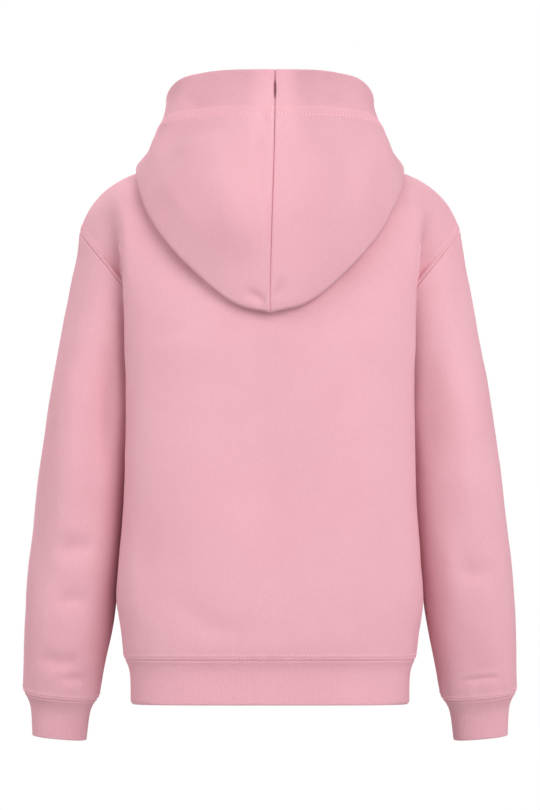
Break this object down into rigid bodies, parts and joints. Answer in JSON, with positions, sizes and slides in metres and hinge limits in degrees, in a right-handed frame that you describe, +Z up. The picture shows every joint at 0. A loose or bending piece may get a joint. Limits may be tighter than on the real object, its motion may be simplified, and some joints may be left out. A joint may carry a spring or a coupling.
{
  "type": "child's pullover hooded sweatshirt",
  "caption": "Child's long-sleeved pullover sweatshirt with drop shoulders, a folded-down hood and ribbed hem and cuffs, filled out as if worn.",
  "frame": {"origin": "midway between the two neck points, where the shoulder seams meet the neck seam and the wearer's shoulders carry the garment", "axes": "+Z up, the front faces -Y, the back +Y, and the wearer's left hand is at +X"},
  "size_m": [0.519, 0.2391, 0.7049],
  "materials": {
    "fleece": "brushed sweat jersey, matt",
    "rib": "rib knit, matt"
  },
  "bodies": {
    "root": {"back_panel": "fleece", "front_panel": "fleece", "sleeve_left": "fleece", "sleeve_right": "fleece", "hood_left": "fleece", "hood_right": "fleece", "waistband": "rib", "cuff_left": "rib", "cuff_right": "rib"}
  },
  "joints": []
}
